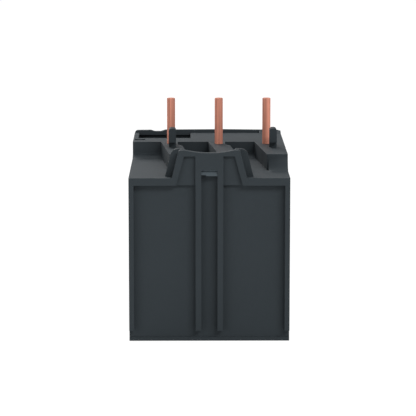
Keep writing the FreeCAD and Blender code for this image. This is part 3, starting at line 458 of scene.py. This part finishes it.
class ControlSettings(bpy.types.PropertyGroup):
    """Buttons, dial, flag and clear cover."""

    reset: tint("Reset", "Colour of the reset button", (0.02, 0.11, 0.42))
    stop: tint("Stop", "Colour of the stop button", (0.50, 0.02, 0.02))
    dial: tint("Dial", "Colour of the setting dial", (0.40, 0.41, 0.41))
    flag: tint("Flag", "Colour of the trip flag", (0.85, 0.48, 0.03))
    cap: length("Cap size", "Width of a push button's face", 6.6)
    corner: length("Cap corner", "Corner radius of a push button", 1.2)
    dish: length("Dish depth", "Depth of the dished face", 0.3)
    collar_depth: length("Collar depth", "From a button's face to its retaining collar", 2.9)
    collar_height: length("Collar height", "Thickness of the retaining collar", 1.0)
    back: length("Cap depth", "From a button's face to its stem", 5.5)
    stem: length("Stem radius", "Radius of a button's guide stem", 1.5)
    rim: length("Dial rim", "Width and thickness of the dial's retaining rim", 0.8)
    shaft: length("Dial shaft", "Radius of the dial's shaft", 2.0)
    depth: length("Dial depth", "From the dial's face to its rim", 0.6)
    slot: length("Dial slot", "Width and depth of the dial's screwdriver slot", 0.8)
    window: length("Window depth", "Depth of the floor round the dial", 1.5)
    tick: length("Tick length", "Length of the scale's main ticks", 0.6)
    letters: length("Number size", "Height of the scale's numbers", 1.35)
    lowest: bpy.props.IntProperty(name="Lowest", description="First number of the scale", default=12)
    count: bpy.props.IntProperty(name="Numbers", description="How many numbers the scale has", default=7)
    first: angle("First angle", "Where the scale starts", 225)
    sweep: angle("Sweep", "How far the scale turns", 270)


class StudioSettings(bpy.types.PropertyGroup):
    """Camera and lamps."""

    distance: bpy.props.FloatProperty(
        name="Distance", description="Camera to the middle of the relay", subtype="DISTANCE", default=0.6103
    )
    elevation: bpy.props.FloatProperty(
        name="Elevation", description="Camera height angle", subtype="ANGLE", default=0.1575
    )
    azimuth: bpy.props.FloatProperty(
        name="Azimuth", description="Camera turn from square on", subtype="ANGLE", default=0.0073
    )
    lens: bpy.props.FloatProperty(
        name="Lens", description="Focal length on a 36 mm sensor", subtype="DISTANCE_CAMERA", default=180.4
    )
    key: power("Key lamp", "Power of the key lamp", 6.0)
    top: power("Top lamp", "Power of the lamp overhead", 3.2)
    fill: power("Front lamp", "Power of the front lamp", 5.0)
    side: power("Side lamp", "Power of the side lamp", 1.2)
    sky: bpy.props.FloatProperty(
        name="Sky", description="Strength of the even light", subtype="FACTOR", default=0.38
    )


# Finishes --------------------------------------------------------------------------------------------


def moulded(name, colour, grain, gloss=0.62, painted_light_box=None):
    """Glass-filled moulded plastic: fine grain, faint flow marks, dull gloss, painted light in a box."""
    finish = Finish(name)
    cloud = finish.noise(90.0, 4.0)
    speck = finish.noise(6000.0, 2.0)
    tone = finish.blend(cloud, shade(colour, 0.93), shade(colour, 1.07))
    tone = finish.blend(speck * 0.25, tone, shade(colour, 1.5))
    # Painted light: inside the given box the colour is painted 2.3 times paler, as light on the face there
    if painted_light_box:
        tone = finish.blend(finish.within(*painted_light_box), tone, shade(colour, 2.3))
    finish.set(
        Base_Color=tone,
        Roughness=gloss + (cloud - 0.5) * 0.10 + (speck - 0.5) * 0.10,
        Normal=finish.bump(speck + finish.noise(2200.0, 2.0) * 0.6, grain),
    )
    finish.shader.inputs["Specular IOR Level"].default_value = 0.15
    return finish


def plated(name, colour, gloss=0.3):
    """Plated steel: bright, with a little waviness and fine scratches."""
    finish = Finish(name)
    scratch = finish.noise(900.0, 3.0, (1.0, 1.0, 12.0))
    cloud = finish.noise(300.0, 3.0)
    finish.set(
        Base_Color=finish.blend(cloud, shade(colour, 0.88), shade(colour, 1.08)),
        Metallic=1.0,
        Roughness=gloss + scratch * 0.14,
        Normal=finish.bump(scratch, 0.000004),
    )
    return finish


def drawn_copper(name, colour):
    """Bare drawn copper: lengthwise draw lines and a thin uneven tarnish."""
    finish = Finish(name)
    lines = finish.noise(1500.0, 2.0, (1.0, 1.0, 0.02))
    tarnish = finish.noise(420.0, 4.0)
    streak = ((lines - 0.35) * 3.3).clamped()
    finish.set(
        Base_Color=finish.blend(streak * 0.8 + tarnish * 0.2, shade(colour, 0.66), shade(colour, 1.22)),
        Metallic=0.15,
        Roughness=0.5 + lines * 0.12 + tarnish * 0.06,
        Normal=finish.bump(lines, 0.000003),
    )
    return finish


def smooth_plastic(name, colour, gloss=0.28):
    """Unfilled glossy plastic with faint moulding ripple."""
    finish = Finish(name)
    ripple = finish.noise(260.0, 3.0)
    finish.set(
        Base_Color=finish.blend(ripple, shade(colour, 0.95), shade(colour, 1.05)),
        Roughness=gloss + (ripple - 0.5) * 0.1,
        Normal=finish.bump(ripple, 0.00001),
    )
    return finish


def clear_plastic(name):
    """Clear polycarbonate with a faint grey tint."""
    finish = Finish(name)
    haze = finish.noise(500.0, 3.0)
    finish.set(
        Base_Color=finish.blend(haze, (0.20, 0.22, 0.23, 1.0), (0.26, 0.28, 0.29, 1.0)),
        Roughness=0.06 + haze * 0.06,
        Alpha=0.12 + haze * 0.04,
    )
    return finish


class RELAY_OT_mouldings(bpy.types.Operator):
    """Dress the dark moulded shells and round their edges"""

    bl_idname = "relay.mouldings"
    bl_label = "Mouldings"

    def execute(self, context):
        settings = context.scene.relay_moulding
        half, rear = settings.latch_half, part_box("rear_cover")[1].y
        # Painted light on the latch wedge in the rear cover: its box is painted paler, as if the wedge
        # caught light from above
        latch = ((-half, rear - 0.0018, settings.latch_foot), (half, rear + MM, settings.latch_top))
        finish = moulded("case_plastic", tuple(settings.colour), settings.grain, painted_light_box=latch)
        dress(MOULDINGS, finish)
        soften(MOULDINGS, settings.edge)
        return {"FINISHED"}


class RELAY_OT_line_pins(bpy.types.Operator):
    """Model the three bare copper pins with their shanks and inner runs"""

    bl_idname = "relay.line_pins"
    bl_label = "Line pins"

    def execute(self, context):
        settings = context.scene.relay_metal
        finish = drawn_copper("bare_copper", tuple(settings.copper))
        plastic = tuple(context.scene.relay_moulding.colour)
        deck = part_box("main_housing")[0].z + settings.deck
        for name in numbered("line_pin", POLES):
            low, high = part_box(name)
            sunk = deck - settings.collar
            seat(self.pin(f"copper_{name}", low, high, sunk, settings), "housing", "copper", finish, name)
            collar = self.collar(f"collar_{name}", low, high, (sunk, deck), settings.pin)
            ring = moulded(f"collar_plastic_{name}", plastic, 0.00001)
            seat(collar, "housing", "case_plastic", ring)
        return {"FINISHED"}

    def collar(self, name, low, high, span, hole):
        """The moulded ring that closes the platform round a pin."""
        x, shank = (low.x + high.x) / 2, (high.x - low.x) / 2
        foot, top = span
        collar = turned(name, [(shank, foot), (shank, top)])
        shape = {"vertices": 48, "radius": hole + COLLAR_GAP, "depth": 4 * (top - foot)}
        carve(collar, start("cylinder", "cutter", location=(0, 0, top), **shape))
        collar.location = (x, low.y + shank, 0)
        return smooth(settle(collar))

    def pin(self, name, low, high, sunk, settings):
        radius, shank = settings.pin, (high.x - low.x) / 2
        crown = radius * PIN_TIP
        ease = crown * PIN_EASE
        hip = sunk - PIN_HIP * radius
        outline = [(radius, low.z), (radius, hip), (shank, hip), (shank, sunk), (radius, sunk)]
        outline += [(radius, high.z - crown), (radius - ease, high.z - ease), (radius - crown, high.z)]
        pin = turned(name, outline)
        x, y = (low.x + high.x) / 2, low.y + shank
        pin.location = (x, y, 0)
        settle(pin)
        run = start("cube", "run", size=1)
        run.scale = (2 * radius, high.y - y, settings.run)
        run.location = (x, (y + high.y) / 2, low.z + settings.run / 2)
        round_off(settle(run), 0.0002)
        return joined(smooth(pin), run)


class RELAY_OT_screws(bpy.types.Operator):
    """Model the terminal screws with domed heads, cross recesses and threads"""

    bl_idname = "relay.screws"
    bl_label = "Terminal screws"

    def execute(self, context):
        settings = context.scene.relay_metal
        finish = plated("screw_steel", tuple(settings.steel), 0.28)
        # Painted shade: the cross recess takes the steel darkened to 0.3
        recess = plated("screw_recess", shade(tuple(settings.steel), 0.3), 0.5)
        kinds = (
            (numbered("main_screw", POLES), settings.main_shank, settings.main_head, settings.main_thread),
            (numbered("aux_screw", CONTROLS), settings.aux_shank, settings.aux_head, settings.aux_thread),
        )
        for names, shank, head, pitch in kinds:
            low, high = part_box(names[0])
            wide, long = (high.x - low.x) / 2, high.y - low.y
            model = self.screw(names[0], wide, long, shank, head, pitch, (finish, recess))
            for name in names:
                low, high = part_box(name)
                screw = model.copy()
                screw.data = model.data.copy()
                screw.name = screw.data.name = f"threaded_{name}"
                context.collection.objects.link(screw)
                face_front(screw, (low.x + high.x) / 2, low.y, (low.z + high.z) / 2)
                seat(screw, name, "screw_steel", finish, name)
            bpy.data.objects.remove(model)
        return {"FINISHED"}

    def screw(self, name, wide, length, shank, head, pitch, finishes):
        """A screw up the Z axis with its face at zero, in a finish for the steel and one with painted shade
        for its recess.
        """
        root = shank - pitch * THREAD_DEPTH
        rim = -head * DOME_HEIGHT
        dome = [math.radians(15 * step) for step in range(1, 6)]
        outline = [(root * SCREW_POINT, -length), (root, pitch - length), (root, -head), (wide, -head)]
        outline += [(wide, rim)]
        outline += [(wide * (1 - DOME_DRAW * (1 - math.cos(a))), rim * (1 - math.sin(a))) for a in dome]
        outline += [(wide * DOME_FLAT, 0.0)]
        body = turned(f"{name}_body", outline)
        body.data.materials.append(finishes[0].material)
        for turn in (0, math.pi / 2):
            cutter = start("cube", "cutter", size=1)
            cutter.scale = (wide * CROSS_LENGTH, wide * CROSS_WIDTH, head * CROSS_DEPTH)
            cutter.rotation_euler.z = turn
            cutter = round_off(settle(cutter), wide * 0.04, 2)
            # The recess's cut faces take the painted shade
            carve(body, cutter, finishes[1])
        round_off(body, wide * 0.02, 2)
        turns = int((length - head) / pitch) - 1
        ridge = helix("ridge", root, pitch * THREAD_RIDGE, 3, pitch, turns, pitch * 0.9 - length)
        ridge.data.materials.append(finishes[0].material)
        return joined(body, ridge)


class RELAY_OT_springs(bpy.types.Operator):
    """Wind the two return springs behind the buttons"""

    bl_idname = "relay.springs"
    bl_label = "Return springs"

    def execute(self, context):
        settings = context.scene.relay_metal
        finish = plated("spring_wire", shade(tuple(settings.steel), 0.85), 0.26)
        for stem in ("reset", "stop"):
            low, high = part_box(f"{stem}_spring")
            wire = settings.wire
            length = high.y - low.y - 2 * wire
            wide = (high.x - low.x) / 2 - wire
            turns = settings.turns
            name = f"round_wire_{stem}_spring"
            spring = helix(name, wide, wire, 12, length / turns, turns, -length)
            smooth(spring)
            face_front(spring, (low.x + high.x) / 2, low.y + wire, (low.z + high.z) / 2)
            seat(spring, "housing", "spring_steel", finish, f"{stem}_spring")
            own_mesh(spring)
        return {"FINISHED"}


class RELAY_OT_metalwork(bpy.types.Operator):
    """Dress the cages, clamps, pivots, contacts and heaters"""

    bl_idname = "relay.metalwork"
    bl_label = "Other metalwork"

    def execute(self, context):
        settings = context.scene.relay_metal
        steel = tuple(settings.steel)
        cages = numbered("main_cage", POLES) + numbered("aux_clamp", CONTROLS)
        pivots = ["compensation_lever_pin", "adjusting_lever_pin", "contact_rocker_pin", "sealing_cover_pin"]
        dress(cages + pivots, plated("nickel_plate", shade(steel, 1.05), 0.34))
        strips = numbered("load_plate", POLES) + numbered("contact_plate", CONTROLS)
        dress(strips + ["closed_bridge", "open_bridge"], plated("stamped_brass", tuple(settings.brass), 0.3))
        dress(numbered("bimetal_strip", POLES), plated("rolled_bimetal", (0.44, 0.41, 0.36), 0.38))
        dress(numbered("heater_winding", POLES), plated("heater_ribbon", (0.34, 0.32, 0.31), 0.45))
        soften(cages, 0.00015)
        return {"FINISHED"}


class RELAY_OT_buttons(bpy.types.Operator):
    """Model the reset and stop buttons with dished faces, collars and stems"""

    bl_idname = "relay.buttons"
    bl_label = "Push buttons"

    def execute(self, context):
        settings = context.scene.relay_control
        for stem, slot in (("reset", "reset_blue"), ("stop", "stop_red")):
            finish = smooth_plastic(f"{stem}_plastic", tuple(getattr(settings, stem)))
            low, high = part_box(f"{stem}_button")
            button = self.button(f"dished_{stem}_button", high.x - low.x, high.y - low.y, settings)
            face_front(button, (low.x + high.x) / 2, low.y, (low.z + high.z) / 2)
            seat(button, f"{stem}_button", slot, finish, f"{stem}_button")
        return {"FINISHED"}

    def button(self, name, collar, length, settings):
        """A button up the Z axis with its face at zero."""
        cap, dish, back = settings.cap, settings.dish, settings.back
        collar_top = -settings.collar_depth
        collar_foot = collar_top - settings.collar_height
        outline = [(cap, -back), (cap, collar_foot), (collar, collar_foot), (collar, collar_top)]
        outline += [(cap, collar_top), (cap, -dish)]
        outline += [(cap * share, -dish * depth) for share, depth in DISHED]
        body = round_off(squared(name, outline, settings.corner), 0.00012)
        thick = settings.stem
        outline = [(thick * 0.8, -length), (thick, STEM_LEAD - length), (thick, -back)]
        stem = turned("stem", outline, 32)
        return joined(body, smooth(stem))


class RELAY_OT_dial(bpy.types.Operator):
    """Model the setting dial and the numbered scale round it"""

    bl_idname = "relay.dial"
    bl_label = "Setting dial and scale"

    def execute(self, context):
        settings = context.scene.relay_control
        finish = smooth_plastic("dial_plastic", tuple(settings.dial), 0.4)
        low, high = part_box("setting_dial")
        x, z = (low.x + high.x) / 2, (low.z + high.z) / 2
        first = settings.first
        # Painted shade: the slot and arrow cut into the dial take its colour darkened to 0.3
        recess = smooth_plastic("dial_recess", shade(tuple(settings.dial), 0.3), 0.5)
        wide, long = (high.x - low.x) / 2, high.y - low.y
        dial = face_front(self.dial(wide, long, first, settings, (finish, recess)), x, low.y, z)
        seat(dial, "setting_dial", "dial_plastic", finish, "setting_dial")
        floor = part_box("front_cover")[0].y + settings.window
        scale = face_front(self.scale((high.x - low.x) / 2, first, settings), x, floor, z)
        ink = smooth_plastic("scale_print", (0.74, 0.74, 0.72), 0.55)
        seat(scale, "housing", "dial_plastic", ink)
        return {"FINISHED"}

    def dial(self, flange, length, first, settings, finishes):
        """The dial up the Z axis, with its face at zero and its arrow at the first mark."""
        wide, shaft = flange - settings.rim, settings.shaft
        foot = -settings.depth
        back = foot - settings.rim
        outline = [(shaft, -length), (shaft, back), (flange, back), (flange, foot)]
        outline += [(wide, foot), (wide, -DIAL_EDGE), (wide - DIAL_EDGE, 0.0), (wide * RING, 0.0)]
        outline += [(wide * STEP, -DIAL_STEP)]
        dial = turned("slotted_dial", outline, 72)
        dial.data.materials.append(finishes[0].material)
        slot = start("cube", "slot", size=1)
        slot.scale = (wide * SLOT, settings.slot, 2 * settings.slot)
        slot.rotation_euler.z = first
        carve(dial, round_off(settle(slot), 0.0001, 2), finishes[1])
        place = (wide * ARROW_PLACE * math.cos(first), wide * ARROW_PLACE * math.sin(first), 0)
        shape = {"vertices": 3, "radius": wide * ARROW_SIZE, "depth": settings.slot}
        arrow = start("cylinder", "arrow", location=place, **shape)
        arrow.rotation_euler.z = first - math.pi / 2
        carve(dial, round_off(settle(arrow), 0.0001, 2), finishes[1])
        return round_off(dial, 0.0001, 2)

    def scale(self, hole, first, settings):
        """Raised ticks and numbers on the floor round the dial."""
        marks = []
        steps = 2 * (settings.count - 1)
        for step in range(steps + 1):
            angle = first - settings.sweep * step / steps
            long = settings.tick * (1.0 if step % 2 == 0 else 0.6)
            reach = hole + 0.0001 + long / 2
            place = (reach * math.cos(angle), reach * math.sin(angle), 0)
            tick = start("cube", "dial_scale", size=1, location=place)
            tick.scale = (long, 0.00016, 0.00016)
            tick.rotation_euler.z = angle
            marks.append(round_off(settle(tick), 0.00003, 1))
            if step % 2 == 0:
                text = str(settings.lowest + step // 2)
                marks.append(self.number(text, angle, hole + settings.tick + NUMBER_GAP, settings))
        return joined(*marks)

    def number(self, text, angle, reach, settings):
        bpy.ops.object.select_all(action="DESELECT")
        bpy.ops.object.text_add()
        item = bpy.context.object
        item.data.body = text
        item.data.size = settings.letters
        item.data.extrude = 0.00006
        item.data.align_x = item.data.align_y = "CENTER"
        bpy.ops.object.convert(target="MESH")
        item.location = (reach * math.cos(angle), reach * math.sin(angle), 0.00002)
        return settle(item)


class RELAY_OT_controls(bpy.types.Operator):
    """Dress the test button, selector, flag, clear cover and inner plastic parts"""

    bl_idname = "relay.controls"
    bl_label = "Other controls"

    def execute(self, context):
        settings = context.scene.relay_control
        dress(["mode_selector"], smooth_plastic("selector_plastic", tuple(settings.reset)))
        dress(["trip_indicator"], smooth_plastic("flag_plastic", tuple(settings.flag), 0.5))
        dress(["test_button"], smooth_plastic("test_plastic", (0.10, 0.105, 0.11), 0.45))
        dress(["sealing_cover"], clear_plastic("clear_plastic"))
        inner = ["mechanism_plate", "main_slider", "differential_slider"]
        inner += ["compensation_lever", "adjusting_lever"]
        dress(inner + ["contact_rocker"], smooth_plastic("inner_nylon", (0.58, 0.55, 0.47), 0.5))
        sleeve = moulded("glass_sleeve", (0.66, 0.63, 0.55), 0.00003, 0.8)
        dress(numbered("heater_sleeve", POLES), sleeve)
        soften(["test_button", "mode_selector"], 0.0002)
        return {"FINISHED"}


# Studio ----------------------------------------------------------------------------------------------


def aim(item, target):
    """Turns a camera or lamp to face a point."""
    item.rotation_euler = (target - item.location).to_track_quat("-Z", "Y").to_euler()


class RELAY_OT_studio(bpy.types.Operator):
    """Set the camera, lamps, floor and backdrop"""

    bl_idname = "relay.studio"
    bl_label = "Studio"

    def execute(self, context):
        settings = context.scene.relay_studio
        self.camera(context, settings)
        for name, place, size, power in LAMPS:
            self.lamp(name, place, size, getattr(settings, power))
        self.surroundings(context, settings)
        context.scene.view_settings.view_transform = "Standard"
        return {"FINISHED"}

    def camera(self, context, settings):
        level = math.cos(settings.elevation)
        turn = settings.azimuth
        away = Vector((math.sin(turn) * level, math.cos(turn) * level, math.sin(settings.elevation)))
        bpy.ops.object.camera_add(location=MIDDLE + away * settings.distance)
        camera = context.object
        camera.name = "camera"
        camera.data.lens = settings.lens
        camera.data.sensor_width = 36.0
        camera.data.clip_start = 0.01
        aim(camera, MIDDLE)
        context.scene.camera = camera

    def lamp(self, name, place, size, power):
        bpy.ops.object.light_add(type="AREA", location=place)
        lamp = bpy.context.object
        lamp.name = name
        lamp.data.shape = "RECTANGLE"
        lamp.data.size, lamp.data.size_y = size
        lamp.data.energy = power
        aim(lamp, MIDDLE)

    def surroundings(self, context, settings):
        bpy.ops.object.select_all(action="DESELECT")
        bpy.ops.mesh.primitive_plane_add(size=6.0, location=(0, 0, 0))
        floor = context.object
        floor.name = "studio_floor"
        floor.data.materials.append(self.paper("studio_paper"))
        floor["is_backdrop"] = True
        world = bpy.data.worlds.new("studio_sky")
        nodes = Nodes(world)
        rays = nodes.node("ShaderNodeLightPath").outputs
        seen = {0: rays["Is Camera Ray"], 1: rays["Is Transmission Ray"]}
        white = nodes.node("ShaderNodeMath", {"operation": "MAXIMUM"}, seen).outputs[0]
        levels = {0: white, 2: settings.sky, 3: 1.0}
        strength = nodes.node("ShaderNodeMix", {"data_type": "FLOAT"}, levels).outputs[0]
        back = nodes.node("ShaderNodeBackground", None, {"Strength": strength, "Color": WHITE})
        nodes.node("ShaderNodeOutputWorld", None, {"Surface": back.outputs[0]})
        context.scene.world = world

    def paper(self, name):
        """White paper that shows as plain white, with a soft shadow, and is clear from below."""
        material = bpy.data.materials.new(name)
        nodes = Nodes(material)
        ray = nodes.node("ShaderNodeLightPath").outputs["Is Camera Ray"]
        share = nodes.node("ShaderNodeMath", {"operation": "MULTIPLY"}, {0: ray, 1: GLOW_SHARE})
        diffuse = nodes.node("ShaderNodeBsdfDiffuse", None, {"Color": shade(WHITE, PAPER_TONE)})
        glow = nodes.node("ShaderNodeEmission", None, {"Strength": PAPER_GLOW})
        above = {0: share.outputs[0], 1: diffuse.outputs[0], 2: glow.outputs[0]}
        mix = nodes.node("ShaderNodeMixShader", None, above)
        below = nodes.node("ShaderNodeNewGeometry").outputs["Backfacing"]
        clear = nodes.node("ShaderNodeBsdfTransparent")
        sides = {0: below, 1: mix.outputs[0], 2: clear.outputs[0]}
        under = nodes.node("ShaderNodeMixShader", None, sides)
        nodes.node("ShaderNodeOutputMaterial", None, {"Surface": under.outputs[0]})
        return material


class RELAY_PT_panel(bpy.types.Panel):
    """Lists the relay's finishing steps"""

    bl_idname = "RELAY_PT_panel"
    bl_label = "Overload relay"
    bl_space_type = "VIEW_3D"
    bl_region_type = "UI"
    bl_category = "Relay"

    def draw(self, context):
        for step in STEPS:
            self.layout.operator(step.bl_idname)
        for name in SETTINGS:
            group = getattr(context.scene, name)
            for key in group.bl_rna.properties.keys():
                if key not in ("rna_type", "name"):
                    self.layout.prop(group, key)


STEPS = (
    RELAY_OT_mouldings,
    RELAY_OT_line_pins,
    RELAY_OT_screws,
    RELAY_OT_springs,
    RELAY_OT_metalwork,
    RELAY_OT_buttons,
    RELAY_OT_dial,
    RELAY_OT_controls,
    RELAY_OT_studio,
)
SETTINGS = {
    "relay_moulding": MouldingSettings,
    "relay_metal": MetalSettings,
    "relay_control": ControlSettings,
    "relay_studio": StudioSettings,
}


def register():
    for group in SETTINGS.values():
        bpy.utils.register_class(group)
    for step in STEPS + (RELAY_PT_panel,):
        bpy.utils.register_class(step)
    for name, group in SETTINGS.items():
        setattr(bpy.types.Scene, name, bpy.props.PointerProperty(type=group))


def unregister():
    for name in SETTINGS:
        delattr(bpy.types.Scene, name)
    for step in reversed(STEPS + (RELAY_PT_panel,)):
        bpy.utils.unregister_class(step)
    for group in reversed(list(SETTINGS.values())):
        bpy.utils.unregister_class(group)


def corners():
    """The whole object's box as plain numbers."""
    return [list(corner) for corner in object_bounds()]


def main():
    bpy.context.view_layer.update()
    register()
    bpy.ops.object.select_all(action="DESELECT")
    bpy.ops.relay.mouldings()
    bpy.ops.relay.line_pins()
    bpy.ops.relay.screws()
    bpy.ops.relay.springs()
    bpy.ops.relay.metalwork()
    bpy.ops.relay.buttons()
    bpy.ops.relay.dial()
    bpy.ops.relay.controls()
    bpy.ops.relay.studio()


if __name__ == "__main__":
    main()
